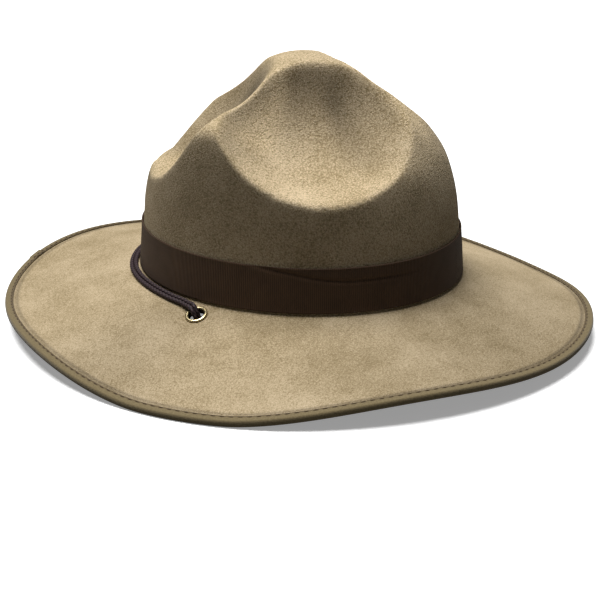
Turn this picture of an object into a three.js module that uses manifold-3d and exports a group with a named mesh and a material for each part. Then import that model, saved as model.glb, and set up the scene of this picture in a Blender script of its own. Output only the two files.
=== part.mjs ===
// Wide-brim felt hat with a four-dent peaked crown, a ribbon band, a bound brim edge,
// two brass eyelets and a flat twin chin cord. Millimetres, +Z up, front of the hat at -Y.
// The origin lies on the surface that the brim rests on, under the middle of the hat.
import * as THREE from "three";
import { mergeVertices } from "three/addons/utils/BufferGeometryUtils.js";
import Module from "manifold-3d";

// Head opening and crown: outside of the felt where the crown meets the brim
const headHalfLength = 101.8;
const headHalfWidth = 85.8;
const crownHeight = 136;
const crownBaseHeight = 34.9;
const crownForward = 3.4;
const peakForward = 4.5;
const feltThickness = 2;
const crownFillet = 1.6;

// Brim
const brimWidth = 83.2;
const brimDrawIn = 1.6;
const brimWaveHeight = 10;
const brimRestDepth = 1.2;
const brimRestSoftness = 0.8;
const brimDish = 1.12;

// Hat band
const bandHeight = 27.5;
const bandThickness = 1.1;
const bandLift = 2;
const bandGap = 0.3;

// Binding of the brim edge
const bindingThickness = 1;
const bindingWidth = 5.5;
const bindingGap = 0.3;
const lapLength = 13;
const lapThickness = 0.7;
const lapRamp = 0.6;
const noseRoundOut = 0.7;
const noseRoundUp = 0.75;

// Eyelets
const eyeletAngle = 105;
const eyeletFromCrown = 9.8;
const eyeletHole = 4.8;
const eyeletWall = 0.5;
const eyeletFlange = 6.9;
const eyeletFlangeThickness = 0.9;
const eyeletFlangeRound = 0.7;
const eyeletLip = 0.4;
const eyeletGap = 0.3;
const eyeletSeatGap = 0.5;

// Chin cord: two strands side by side, so its width is twice its height. On the brim it leans with
// the felt by a slope, until it has dropped a little below the crown's foot.
const cordHeight = 2.8;
const cordWidth = 5.6;
const cordSlope = 0.36;
const cordLevelDrop = 6;
const cordSteps = 80;

// Numbers of facets
const feltFacets = 64;
const crownLevels = 15;
const brimLevels = 6;
const bandFacets = 64;
const bindingFacets = 64;
const eyeletFacets = 16;

// Vertical sections of the crown before its dents. "from" and "to" are the angles, in degrees from
// the front, over which a section holds, and between two sections the crown is eased. Each level is
// the share of the head oval and the share of the crown height, from the brim up to the peak. Both
// sides of the hat are alike.
const crestSections = [
  {
    name: "front crest", from: 0, to: 8,
    out: [1, 0.98, 0.952, 0.906, 0.838, 0.726, 0.55, 0.36, 0.18, 0],
    up: [0, 0.2, 0.385, 0.51, 0.615, 0.732, 0.848, 0.933, 0.98, 1],
  },
  {
    name: "front flank", from: 26, to: 34,
    out: [1, 0.982, 0.958, 0.905, 0.84, 0.72, 0.55, 0.37, 0.2, 0],
    up: [0, 0.19, 0.345, 0.5, 0.6, 0.7, 0.8, 0.89, 0.97, 1],
  },
  {
    name: "side crest", from: 94, to: 106,
    out: [1, 0.982, 0.98, 0.97, 0.93, 0.8, 0.6, 0.4, 0.2, 0],
    up: [0, 0.22, 0.46, 0.665, 0.765, 0.825, 0.88, 0.93, 0.98, 1],
  },
  {
    name: "back crest", from: 170, to: 180,
    out: [1, 0.982, 0.965, 0.92, 0.83, 0.735, 0.58, 0.4, 0.2, 0],
    up: [0, 0.19, 0.35, 0.46, 0.505, 0.6, 0.745, 0.885, 0.975, 1],
  },
];

// Egg-shaped presses that dent each side of the crown. The middle lies at an angle, in degrees from
// the front, at a share of the head oval, "out", and of the crown height, "up". The half lengths are
// shares of the head's half width, outwards and across, and of the crown height, upwards.
const crownPresses = [
  {
    name: "front press", angle: 60, out: 1.05, up: 1.24,
    halfOut: 0.96, halfAcross: 1.19, halfUp: 0.745,
  },
  {
    name: "back press", angle: 144, out: 1.18, up: 1.36,
    halfOut: 1.2, halfAcross: 0.8, halfUp: 0.9,
  },
];
const pressRounding = 6.5;
const pullShare = 0.3;

// Waves of the brim edge round the hat, as shares of the wave height: "ahead" peaks at the front
// and "aside" a quarter wave towards +X.
const brimWaves = [
  { count: 1, ahead: -0.2, aside: -0.09 },
  { count: 2, ahead: 0.42, aside: -0.19 },
  { count: 3, ahead: -0.04, aside: -0.16 },
  { count: 4, ahead: -0.08, aside: -0.02 },
  { count: 5, ahead: -0.01, aside: 0.25 },
];

const ribbonBrown = { color: 0x2d2018, roughness: 0.6, metalness: 0 };
const feltTan = { color: 0xb3a07b, roughness: 0.95, metalness: 0 };
const bindingTan = { color: 0x8c7d5a, roughness: 0.9, metalness: 0 };
const paleBrass = { color: 0xc9b67c, roughness: 0.3, metalness: 1 };
const cordPlum = { color: 0x3c2d32, roughness: 0.75, metalness: 0 };

const radians = THREE.MathUtils.degToRad;
const fullTurn = 2 * Math.PI;

function ease(x) {
  const t = THREE.MathUtils.clamp(x, 0, 1);
  return t * t * (3 - 2 * t);
}

// A smooth curve through evenly spaced values. Past the last level, the peak, "out" mirrors with
// its sign changed and "up" mirrors as it is, so that the crown is round at the top.
function curveValue(values, share, mirrorSign) {
  const last = values.length - 1;
  const at = THREE.MathUtils.clamp(share, 0, 1) * last;
  const i = Math.min(Math.floor(at), last - 1);
  const f = at - i;
  const before = i > 0 ? values[i - 1] : 2 * values[0] - values[1];
  const after = i + 2 <= last ? values[i + 2] : mirrorSign * values[last - 1];
  const a = values[i];
  const b = values[i + 1];
  return 0.5 * (2 * a + (b - before) * f + (2 * before - 5 * a + 4 * b - after) * f * f
    + (3 * a - before - 3 * b + after) * f * f * f);
}

// Point on the crown before its dents, over the middle of the head oval
function domePoint(angle, share) {
  const turned = Math.abs(Math.atan2(Math.sin(angle), Math.cos(angle)));
  let out = curveValue(crestSections[0].out, share, -1);
  let up = curveValue(crestSections[0].up, share, 1);
  crestSections.slice(1).forEach((next, k) => {
    const section = crestSections[k];
    const part = ease((turned - radians(section.to)) / radians(next.from - section.to));
    out += part * (curveValue(next.out, share, -1) - curveValue(section.out, share, -1));
    up += part * (curveValue(next.up, share, 1) - curveValue(section.up, share, 1));
  });
  return new THREE.Vector3(
    headHalfWidth * out * Math.sin(angle), -headHalfLength * out * Math.cos(angle),
    crownHeight * up);
}

// The lesser of two lengths, rounded where they are close
function softLeast(a, b, rounding) {
  const near = Math.max(rounding - Math.abs(a - b), 0);
  return Math.min(a, b) - (near * near) / (4 * rounding);
}

// Share of a ray from the pull point at which it meets a press, or past the crown where it misses
function pressReach(pull, ray, press, side) {
  const missed = 9;
  const angle = side * radians(press.angle);
  const middle = new THREE.Vector3(
    headHalfWidth * press.out * Math.sin(angle), -headHalfLength * press.out * Math.cos(angle),
    crownHeight * press.up);
  const outward = middle.clone().setZ(0).normalize();
  const upward = new THREE.Vector3(0, 0, 1);
  const across = upward.clone().cross(outward);
  const inPress = (v) => new THREE.Vector3(
    v.dot(outward) / (press.halfOut * headHalfWidth),
    v.dot(across) / (press.halfAcross * headHalfWidth),
    v.dot(upward) / (press.halfUp * crownHeight));
  const start = inPress(pull.clone().sub(middle));
  const step = inPress(ray);
  const square = step.lengthSq();
  const cross = step.dot(start);
  const inside = cross * cross - square * (start.lengthSq() - 1);
  return inside > 0 && cross < 0 ? (-cross - Math.sqrt(inside)) / square : missed;
}

// Point on the outside of the crown at an angle from the front and a share of the way up: the
// dome's point, drawn towards the pull point on the crown's axis until it clears every press
function crownPoint(angle, share) {
  const pull = new THREE.Vector3(0, 0, pullShare * crownHeight);
  const ray = domePoint(angle, share).sub(pull);
  const full = ray.length();
  let reach = full;
  for (const press of crownPresses) {
    for (const side of [-1, 1]) {
      reach = softLeast(reach, pressReach(pull, ray, press, side) * full, pressRounding);
    }
  }
  const point = pull.addScaledVector(ray, reach / full);
  point.y -= crownForward + peakForward * Math.max(point.z / crownHeight, 0) ** 1.5;
  point.z += crownBaseHeight;
  return point;
}

function waveHeight(angle) {
  return brimWaveHeight * brimWaves.reduce(
    (sum, wave) => sum + wave.ahead * Math.cos(wave.count * angle)
      + wave.aside * Math.sin(wave.count * angle), 0);
}

// Height of the brim edge over its lowest point: the waves, flattened where the brim rests
const lowestWave = Math.min(...Array.from({ length: 360 }, (_, d) => waveHeight(radians(d))));
function restedHeight(angle) {
  const clear = waveHeight(angle) - lowestWave - brimRestDepth;
  return (clear + Math.hypot(clear, brimRestSoftness)) / 2;
}
const lowestRest = Math.min(...Array.from({ length: 360 }, (_, d) => restedHeight(radians(d))));
const feltUnderside = bindingThickness + bindingGap;

// Top of the brim from the crown, at share 0, to its edge, at share 1
function brimPoint(angle, share) {
  const drawn = brimDrawIn * Math.cos(4 * angle);
  const edgeX = (headHalfWidth + brimWidth + drawn) * Math.sin(angle);
  const edgeY = -(headHalfLength + brimWidth + drawn) * Math.cos(angle);
  const edgeZ = restedHeight(angle) - lowestRest + feltUnderside + feltThickness;
  const rootX = headHalfWidth * Math.sin(angle);
  const rootY = -headHalfLength * Math.cos(angle) - crownForward;
  return new THREE.Vector3(
    rootX + (edgeX - rootX) * share,
    rootY + (edgeY - rootY) * share,
    edgeZ + (crownBaseHeight - edgeZ) * (1 - share) ** brimDish,
  );
}

// The outside of the whole hat: 0 at the peak, 1 at the crown's base, 2 at the brim edge
const brimStart = 1.0001;
const footUps = crestSections[0].up;
const filletUp = crownFillet / (crownHeight * footUps[1]) / (footUps.length - 1);
const filletOut = crownFillet / brimWidth;
function hatPoint(angle, along) {
  if (along <= 1) return crownPoint(angle, 1 - along * (1 - filletUp));
  return brimPoint(angle, filletOut + (along - 1) * (1 - filletOut));
}

function hatNormal(angle, along) {
  const turn = 0.004;
  const step = 0.004;
  const low = along > 1 ? Math.max(along - step, brimStart) : Math.max(along - step, 0);
  const high = along > 1 ? Math.min(along + step, 2) : Math.min(along + step, 1);
  const across = hatPoint(angle + turn, along).sub(hatPoint(angle - turn, along));
  const down = hatPoint(angle, high).sub(hatPoint(angle, low));
  return down.cross(across).normalize();
}

function ringAngles(count) {
  return Array.from({ length: count }, (_, k) => (k * fullTurn) / count);
}

// A closed skin over rows of points. A row of one point is a pole. Rows that are joined end to
// start make a ring-shaped solid.
function skin(rows, joined = false) {
  const positions = [];
  const starts = rows.map((row) => {
    const start = positions.length / 3;
    row.forEach((p) => positions.push(p.x, p.y, p.z));
    return start;
  });
  const faces = [];
  const pairs = joined ? rows.length : rows.length - 1;
  for (let r = 0; r < pairs; r += 1) {
    const s = (r + 1) % rows.length;
    const count = Math.max(rows[r].length, rows[s].length);
    for (let k = 0; k < count; k += 1) {
      const a = starts[r] + (rows[r].length > 1 ? k : 0);
      const b = starts[r] + (rows[r].length > 1 ? (k + 1) % count : 0);
      const c = starts[s] + (rows[s].length > 1 ? k : 0);
      const d = starts[s] + (rows[s].length > 1 ? (k + 1) % count : 0);
      if (c !== d) faces.push(a, c, d);
      if (a !== b) faces.push(a, d, b);
    }
  }
  const geometry = new THREE.BufferGeometry();
  geometry.setAttribute("position", new THREE.Float32BufferAttribute(positions, 3));
  geometry.setIndex(faces);
  return geometry;
}

function named(name, geometry, finish) {
  const shape = geometry.index ? geometry.toNonIndexed() : geometry;
  shape.deleteAttribute("normal");
  shape.deleteAttribute("uv");
  shape.computeVertexNormals();
  const mesh = new THREE.Mesh(shape, new THREE.MeshStandardMaterial(finish));
  mesh.name = name;
  return mesh;
}

// Felt: one blocked wall, crown and brim together
function feltWall() {
  const angles = ringAngles(feltFacets);
  const steps = [];
  for (let k = 1; k <= crownLevels; k += 1) steps.push(k / crownLevels);
  for (let k = 0; k <= brimLevels; k += 1) steps.push(THREE.MathUtils.lerp(brimStart, 2, k / brimLevels));
  const outer = steps.map((s) => angles.map((a) => hatPoint(a, s)));
  const inner = steps.map((s) => angles.map(
    (a) => hatPoint(a, s).addScaledVector(hatNormal(a, s), -feltThickness)));
  const peak = crownPoint(0, 1);
  const peakInside = peak.clone().setZ(peak.z - feltThickness);
  return skin([[peak], ...outer, ...inner.reverse(), [peakInside]]);
}

// Seat of an eyelet: its point on top of the brim and the direction that it faces
function eyeletSeat(side) {
  const angle = side * radians(eyeletAngle);
  const root = brimPoint(angle, 0);
  const edge = brimPoint(angle, 1);
  const share = eyeletFromCrown / Math.hypot(edge.x - root.x, edge.y - root.y);
  const along = 1 + (share - filletOut) / (1 - filletOut);
  return { place: hatPoint(angle, along), facing: hatNormal(angle, along) };
}

function placed(geometry, seat) {
  const turn = new THREE.Quaternion().setFromUnitVectors(new THREE.Vector3(0, 1, 0), seat.facing);
  return geometry.clone().applyQuaternion(turn).translate(seat.place.x, seat.place.y, seat.place.z);
}

function asSolid(wasm, geometry) {
  const bare = new THREE.BufferGeometry();
  bare.setAttribute("position", geometry.getAttribute("position"));
  bare.setIndex(geometry.index);
  const merged = mergeVertices(bare, 1e-4);
  return new wasm.Manifold(new wasm.Mesh({
    numProp: 3,
    vertProperties: new Float32Array(merged.getAttribute("position").array),
    triVerts: new Uint32Array(merged.index.array),
  }));
}

function asGeometry(solid) {
  const mesh = solid.getMesh();
  const geometry = new THREE.BufferGeometry();
  geometry.setAttribute("position", new THREE.BufferAttribute(mesh.vertProperties, 3));
  geometry.setIndex(new THREE.BufferAttribute(mesh.triVerts, 1));
  return geometry;
}

function feltBody(wasm) {
  const drill = new THREE.CylinderGeometry(
    eyeletHole + eyeletWall + eyeletGap, eyeletHole + eyeletWall + eyeletGap,
    4 * feltThickness, eyeletFacets);
  let felt = asSolid(wasm, feltWall());
  for (const side of [-1, 1]) felt = felt.subtract(asSolid(wasm, placed(drill, eyeletSeat(side))));
  return named("felt_body", asGeometry(felt), feltTan);
}

// Ribbon band: a wall that stands off the crown by the band gap
function hatBand() {
  const angles = ringAngles(bandFacets);
  const upShare = (z) => (z / crownHeight / footUps[1]) / (footUps.length - 1);
  const level = (z, off) => angles.map((a) => {
    const along = (1 - upShare(z)) / (1 - filletUp);
    const normal = hatNormal(a, along).setZ(0).normalize();
    const p = hatPoint(a, along).addScaledVector(normal, off);
    return p.setZ(crownBaseHeight + z);
  });
  const heights = [bandLift, bandLift + bandHeight / 2, bandLift + bandHeight];
  const outer = heights.map((z) => level(z, bandGap + bandThickness));
  const inner = heights.map((z) => level(z, bandGap));
  return named("hat_band", skin([...outer.reverse(), ...inner], true), ribbonBrown);
}

// Binding: a folded strip over the brim edge. Its two ends lap at the back of the hat.
function brimBinding() {
  const lapHalf = lapLength / (2 * (headHalfLength + brimWidth));
  const lapTurn = lapRamp / (headHalfLength + brimWidth);
  const lapAngles = [-lapHalf - lapTurn, -lapHalf, lapHalf, lapHalf + lapTurn];
  const angles = ringAngles(bindingFacets)
    .filter((a) => Math.abs(a - Math.PI) > lapHalf + 3 * lapTurn)
    .concat([...lapAngles, 0].map((a) => a + Math.PI))
    .sort((a, b) => a - b);
  const half = feltThickness / 2;
  const inside = half + bindingGap;
  const outside = inside + bindingThickness;
  const sections = angles.map((angle) => {
    const lapped = Math.abs(angle - Math.PI) < lapHalf + lapTurn / 2 ? lapThickness : 0;
    const edge = hatPoint(angle, 2);
    const facing = hatNormal(angle, 2);
    const outward = edge.clone().sub(hatPoint(angle, 1.97)).normalize();
    const middle = edge.clone().addScaledVector(facing, -half);
    const at = (out, up) => middle.clone().addScaledVector(outward, out).addScaledVector(facing, up);
    const turnIn = bindingWidth - bindingGap - bindingThickness;
    const nose = bindingGap + bindingThickness;
    return [
      at(-turnIn, outside + lapped), at(0, outside + lapped),
      at(nose * noseRoundOut, outside * noseRoundUp + lapped), at(nose, 0),
      at(nose * noseRoundOut, -outside * noseRoundUp), at(0, -outside), at(-turnIn, -outside),
      at(-turnIn, -inside), at(bindingGap, -inside), at(bindingGap, inside), at(-turnIn, inside),
    ];
  });
  const rows = sections[0].map((_, k) => sections.map((section) => section[k]));
  return named("brim_binding", skin(rows, true), bindingTan);
}

// Brass eyelet: a barrel with a rolled flange above the brim and one below it
function eyelet(name, side) {
  const barrel = eyeletHole + eyeletWall;
  const top = eyeletSeatGap;
  const bottom = -feltThickness - eyeletSeatGap;
  const roll = eyeletFlangeThickness;
  const profile = [
    [eyeletHole, bottom - roll / 2], [barrel + eyeletLip, bottom - roll],
    [eyeletFlange - eyeletFlangeRound, bottom - roll], [eyeletFlange, bottom],
    [barrel, bottom], [barrel, top], [eyeletFlange, top],
    [eyeletFlange - eyeletFlangeRound, top + roll], [barrel + eyeletLip, top + roll],
    [eyeletHole, top + roll / 2], [eyeletHole, bottom - roll / 2],
  ].map(([x, y]) => new THREE.Vector2(x, y));
  const ring = new THREE.LatheGeometry(profile, eyeletFacets);
  return named(name, placed(ring, eyeletSeat(side)), paleBrass);
}

// Route of the chin cord's middle line, on one side of the hat, from the back of the crown
// through the eyelet and down to the surface, then round to the front. The other side mirrors it.
const cordRoute = [
  { x: 0, y: 103.5, z: 35.6 },
  { x: 21, y: 100.4, z: 35.7 },
  { x: 40.5, y: 92.4, z: 35.55 },
  { x: 57, y: 79.6, z: 35.4 },
  { x: 70, y: 64.3, z: 35.4 },
  { x: 79.3, y: 49, z: 35.15 },
  { x: 84.8, y: 37.6, z: 35.15 },
  { x: 87.7, y: 33.3, z: 35.2 },
  { x: 90.1, y: 30.4, z: 35.8 },
  { x: 91.9, y: 27.8, z: 34.45 },
  { x: 92.1, y: 26.2, z: 31.4 },
  { x: 91.3, y: 25.4, z: 28.3 },
  { x: 90.8, y: 24.2, z: 23.6 },
  { x: 91.4, y: 19.6, z: 13.6 },
  { x: 92.4, y: 8, z: 4.7 },
  { x: 92.5, y: -14, z: 1.7 },
  { x: 88.5, y: -44, z: 1.7 },
  { x: 79, y: -80, z: 1.7 },
  { x: 60, y: -108, z: 1.7 },
  { x: 32, y: -124.5, z: 1.7 },
  { x: 0, y: -129.5, z: 1.7 },
];

function chinCord() {
  const there = cordRoute.map((p) => new THREE.Vector3(p.x, p.y, p.z));
  const back = there.slice(1, -1).reverse().map((p) => new THREE.Vector3(-p.x, p.y, p.z));
  const route = new THREE.CatmullRomCurve3([...there, ...back], true, "centripetal");
  const lobe = cordWidth / 4;
  const high = cordHeight / 2;
  const outline = [
    [2 * lobe, 0], [1.5 * lobe, 0.87 * high], [0.6 * lobe, 0.87 * high], [-0.6 * lobe, 0.87 * high],
    [-1.5 * lobe, 0.87 * high], [-2 * lobe, 0], [-1.2 * lobe, -high], [1.2 * lobe, -high],
  ];
  const sections = Array.from({ length: cordSteps }, (_, k) => {
    const middle = route.getPoint(k / cordSteps);
    const ahead = route.getTangent(k / cordSteps);
    const outward = new THREE.Vector3(middle.x, middle.y, 0).normalize();
    outward.z = middle.z > crownBaseHeight - cordLevelDrop ? -cordSlope : 0;
    const side = outward.addScaledVector(ahead, -outward.dot(ahead)).normalize();
    const above = side.clone().cross(ahead).negate();
    return outline.map(([a, b]) => middle.clone().addScaledVector(side, a).addScaledVector(above, b));
  });
  const rows = sections[0].map((_, k) => sections.map((section) => section[k]));
  return named("chin_cord", skin(rows, true), cordPlum);
}

const wasm = await Module();
wasm.setup();

const hat = new THREE.Group();
hat.add(
  feltBody(wasm),
  hatBand(),
  brimBinding(),
  eyelet("eyelet_right", -1),
  eyelet("eyelet_left", 1),
  chinCord(),
);

export default hat;
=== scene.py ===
"""A wide-brim felt hat with a peaked, dented crown, resting by itself on a pale floor.

Every shape is a function of an angle round the hat, measured from its front towards +X, and of a
share along the felt, worked out as whole arrays on a grid. Lengths are in metres.
"""

import bpy
import numpy as np
from mathutils import Matrix, Vector


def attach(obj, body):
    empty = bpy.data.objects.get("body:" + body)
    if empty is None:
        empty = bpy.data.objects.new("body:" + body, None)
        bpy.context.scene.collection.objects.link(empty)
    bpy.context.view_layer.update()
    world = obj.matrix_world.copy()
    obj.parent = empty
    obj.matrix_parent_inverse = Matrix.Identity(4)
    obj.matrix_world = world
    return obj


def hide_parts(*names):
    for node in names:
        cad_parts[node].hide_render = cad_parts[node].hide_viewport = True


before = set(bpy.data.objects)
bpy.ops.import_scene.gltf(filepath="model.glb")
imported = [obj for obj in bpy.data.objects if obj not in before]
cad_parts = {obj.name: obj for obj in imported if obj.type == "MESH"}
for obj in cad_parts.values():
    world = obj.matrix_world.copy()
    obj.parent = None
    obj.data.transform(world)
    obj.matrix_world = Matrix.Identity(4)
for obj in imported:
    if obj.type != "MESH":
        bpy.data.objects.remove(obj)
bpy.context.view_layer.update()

MM = 0.001
FULL_TURN = 2 * np.pi

# Felt: head opening, crown and brim
HEAD_HALF_LENGTH = 101.8 * MM
HEAD_HALF_WIDTH = 85.8 * MM
CROWN_HEIGHT = 136 * MM
CROWN_BASE_HEIGHT = 34.9 * MM
CROWN_FORWARD = 3.4 * MM
PEAK_FORWARD = 4.5 * MM
FELT_THICKNESS = 2 * MM
CROWN_FILLET = 1.6 * MM
BRIM_WIDTH = 83.2 * MM
BRIM_DRAW_IN = 1.6 * MM
BRIM_WAVE_HEIGHT = 10 * MM
BRIM_REST_DEPTH = 1.2 * MM
BRIM_REST_SOFTNESS = 0.8 * MM
BRIM_DISH = 1.12
PEAK_LEAN_POWER = 1.5
BRIM_START = 1.0001
BRIM_ROW_CROWDING = 1.1
NORMAL_STEP = 0.004

# Hat band
BAND_HEIGHT = 27.5 * MM
BAND_THICKNESS = 1.1 * MM
BAND_LIFT = 2 * MM
BAND_GAP = 0.3 * MM
BAND_SLACK = 0.1 * MM
SELVAGE_RISE = 0.12 * MM
SELVAGE_SHARE = 0.04
RIB_PITCH = 1.1 * MM

# One crease of the band: it leaves the top edge at its start and drops to a share of the height
CREASE_DEPTH = 0.85 * MM
CREASE_WIDTH_SHARE = 0.045
CREASE_DROP_SHARE = 0.3
CREASE_START = np.radians(268)
CREASE_DEEP = np.radians(306)
CREASE_END = np.radians(342)
CREASE_FADE = np.radians(25)
CREASE_OPENING = 0.1

# Binding of the brim edge
BINDING_THICKNESS = 1 * MM
BINDING_WIDTH = 5.5 * MM
BINDING_GAP = 0.3 * MM
LAP_LENGTH = 13 * MM
LAP_THICKNESS = 0.7 * MM
LAP_RAMP = 0.6 * MM
PUCKER_DEPTH = 0.22 * MM
PUCKER_WIDTH = 0.9 * MM
PUCKER_LEAST = 0.45
FLAP_PRESS_DEPTH = 0.35 * MM
FLAP_PRESS_WIDTH = 0.5 * MM
# Painted shade along the binding's inner edge, waving with the puckers: strength, distance from the
# edge, wave and width
SEAM_PAINTED_SHADE = 0.8
SEAM_FROM_EDGE = 0.3 * MM
SEAM_WAVE = 0.7 * MM
SEAM_WIDTH = 0.8 * MM
STITCH_PITCH = 5.4 * MM
STITCH_LENGTH = 3.4 * MM
STITCH_RADIUS = 0.45 * MM
STITCH_INSET = 1.1 * MM
STITCH_SINK = 0.22 * MM
STITCH_DIVE = 0.3 * MM

# Eyelets
EYELET_ANGLE = np.radians(105)
EYELET_FROM_CROWN = 9.8 * MM
EYELET_HOLE = 4.8 * MM
EYELET_WALL = 0.5 * MM
EYELET_FLANGE = 6.9 * MM
EYELET_FLANGE_THICKNESS = 0.9 * MM
EYELET_GAP = 0.3 * MM
EYELET_SEAT_GAP = 0.5 * MM

# Chin cord: two braided strands side by side
CORD_HEIGHT = 2.8 * MM
CORD_WIDTH = 5.6 * MM
CORD_SLOPE = 0.36
CORD_LEVEL_DROP = 8 * MM
CORD_LEVEL_RUN = 4 * MM
CORD_ROWS = 1760
STRAND_SIDES = 24
PLAITS = 3
PLAIT_LENGTH = 3.2 * MM
PLAIT_RELIEF = 0.28
PLAIT_END_RELIEF = 0.55
STRAND_SPREAD = 0.98

# Crests of the unpressed crown: name, the angles in degrees over which it holds, the shares of the
# head oval and the shares of the crown height, from brim to peak
CREST_SECTIONS = [
    ("front crest", 0, 8,
     [1, 0.98, 0.952, 0.906, 0.838, 0.726, 0.55, 0.36, 0.18, 0],
     [0, 0.2, 0.385, 0.51, 0.615, 0.732, 0.848, 0.933, 0.98, 1]),
    ("front flank", 26, 34,
     [1, 0.982, 0.958, 0.905, 0.84, 0.72, 0.55, 0.37, 0.2, 0],
     [0, 0.19, 0.345, 0.5, 0.6, 0.7, 0.8, 0.89, 0.97, 1]),
    ("side crest", 94, 106,
     [1, 0.982, 0.98, 0.97, 0.93, 0.8, 0.6, 0.4, 0.2, 0],
     [0, 0.22, 0.46, 0.665, 0.765, 0.825, 0.88, 0.93, 0.98, 1]),
    ("back crest", 170, 180,
     [1, 0.982, 0.965, 0.92, 0.83, 0.735, 0.58, 0.4, 0.2, 0],
     [0, 0.19, 0.35, 0.46, 0.505, 0.6, 0.745, 0.885, 0.975, 1]),
]

# Egg-shaped presses that dent each side of the crown: name, angle in degrees, share of the head oval
# and of the crown height at the middle, then its half lengths outwards and across, as shares of the
# head's half width, and upwards, as a share of the crown height
CROWN_PRESSES = [
    ("front press", 61, 1.0, 1.13, 0.89, 1.07, 0.64),
    ("back press", 144, 1.18, 1.36, 1.2, 0.8, 0.9),
]
PRESS_ROUNDING = 6.5 * MM
PRESS_MISSED = 9.0
PULL_SHARE = 0.3

# Waves of the brim edge: count round the hat, share ahead and share aside
BRIM_WAVES = [(1, -0.2, -0.09), (2, 0.42, -0.19), (3, -0.04, -0.16), (4, -0.08, -0.02),
              (5, -0.01, 0.25)]

# Route of the cord's middle line on the +X side, in millimetres, from the back of the crown
# through the eyelet and round to the front. The other side mirrors it.
CORD_ROUTE = [
    (0, 103.5, 35.6), (21, 100.4, 35.7), (40.5, 92.4, 35.55), (57, 79.6, 35.4),
    (70, 64.3, 35.4), (79.3, 49, 35.15), (84.8, 37.6, 35.15), (87.7, 33.3, 35.2),
    (90.1, 30.4, 35.8), (91.9, 27.8, 34.45), (92.1, 26.2, 31.4), (91.3, 25.4, 28.3),
    (90.8, 24.2, 23.6), (91.4, 19.6, 13.6), (92.4, 8, 4.7), (92.5, -14, 1.7),
    (88.5, -44, 1.7), (79, -80, 1.7), (60, -108, 1.7), (32, -124.5, 1.7), (0, -129.5, 1.7),
]

# Camera: turn round the hat and height over the floor in degrees, and the photograph's framing
CAMERA_TURN = np.radians(-68)
CAMERA_RISE = np.radians(21.5)
CAMERA_ROLL = np.radians(-0.57)
CAMERA_DISTANCE = 1200 * MM
CAMERA_TARGET = np.array([0, -CROWN_FORWARD, 45.2 * MM])
CAMERA_OFFSET_RIGHT = -0.06 * MM
CAMERA_OFFSET_UP = -32.1 * MM
CAMERA_LENS = 115.2
SENSOR_WIDTH = 36

# Light: one broad lamp overhead, a little towards the back of the hat, and a floor that looks paler
# to the camera than the light it throws back
LAMP_DIRECTION = (-0.02, 0.18, 1.0)
LAMP_SPREAD = np.radians(34)
LAMP_POWER = 4.6
SURROUND = 0.05
FLOOR_SEEN = (0.95, 0.95, 0.95)
FLOOR_THROWN = (0.16, 0.16, 0.16)
FLOOR_GLOW = (0.3, 0.3, 0.3)

# Tones of the felt: share of its colour where it stands upright (painted shade), added share where it
# faces up (painted light), and places made darker or paler: angle in degrees, half width in degrees
# and share added
UPRIGHT_TONE = 0.58
FACING_UP_TONE = 0.78
FACING_UP_START = 0.25
FACING_UP_RUN = 0.6
# Tones at the peak's two points, outside and inside; the outside one is painted light, as on upward
# felt
PEAK_TONE = 1.2
INNER_PEAK_TONE = 0.8
BRIM_TONE = 1.1
# Brim places, darker over its front and at one place on its near side
BRIM_SHADES = [(-12, 50, -0.32), (-112, 15, -0.22)]
# Crown places: painted highlights on the side and front crests and painted shade in the dents' hollows
CROWN_PAINTED_SHADING = [(-98, 10, 0.5), (98, 10, 0.5), (-146, 22, -0.75), (146, 22, -0.75),
                (-33, 15, -0.36), (33, 15, -0.36), (0, 8, 0.3)]
# Span down the crown over which its painted highlights and painted shade fade in and out
CROWN_SHADE_START = 0.1
CROWN_SHADE_START_RUN = 0.12
CROWN_SHADE_END = 0.6
CROWN_SHADE_END_RUN = 0.14
# Painted shade on the brim felt beside the binding: share taken off, and its place and width near the
# binding's inner edge, as shares of the brim
SEAM_SHADE = 0.5
SEAM_SHADE_OUT = 0.006
SEAM_SHADE_WIDTH = 0.016

# Felt nap: how far each layer moves the shade, and how many patches and blotches to a metre
NAP_FINE = 1.65
NAP_CLUMPS = 1.5
NAP_PEBBLES = -0.8
NAP_PATCHES = 0.75
NAP_PATCH_SCALE = 42.0
NAP_BLOTCHES = 0.95
NAP_BLOTCH_SCALE = 13.0
NAP_SMOOTH_STRENGTH = 0.65
PEBBLES_END = 1.02
PEBBLES_FADE = 0.04

# Finishes, as linear colours
FELT_LIGHT = (0.61, 0.49, 0.325)
FELT_MIDDLE = (0.45, 0.352, 0.216)
FELT_DARK = (0.26, 0.195, 0.1)
BINDING_TAN = (0.215, 0.168, 0.088)
BINDING_DARK = (0.12, 0.09, 0.042)
THREAD_BROWN = (0.07, 0.043, 0.018)
THREAD_DARK = (0.05, 0.03, 0.012)
RIBBON_BROWN = (0.034, 0.019, 0.009)
RIBBON_DARK = (0.022, 0.0112, 0.005)
RIBBON_LIGHT = (0.085, 0.047, 0.024)
CORD_PLUM = (0.026, 0.015, 0.018)
# Painted shade in the cord's furrows and painted highlight on its plaits' tops
CORD_FURROW_SHADE = (0.004, 0.0022, 0.003)
CORD_RIDGE_HIGHLIGHT = (0.11, 0.07, 0.075)
BRASS = (0.74, 0.62, 0.36)
BRASS_TARNISH = (0.5, 0.4, 0.2)
FELT_SHEEN_TINT = (1, 0.84, 0.6)


# Shape functions

def ease(x):
    """3 t^2 - 2 t^3 of x held between 0 and 1."""
    t = np.clip(x, 0, 1)
    return t * t * (3 - 2 * t)


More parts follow.
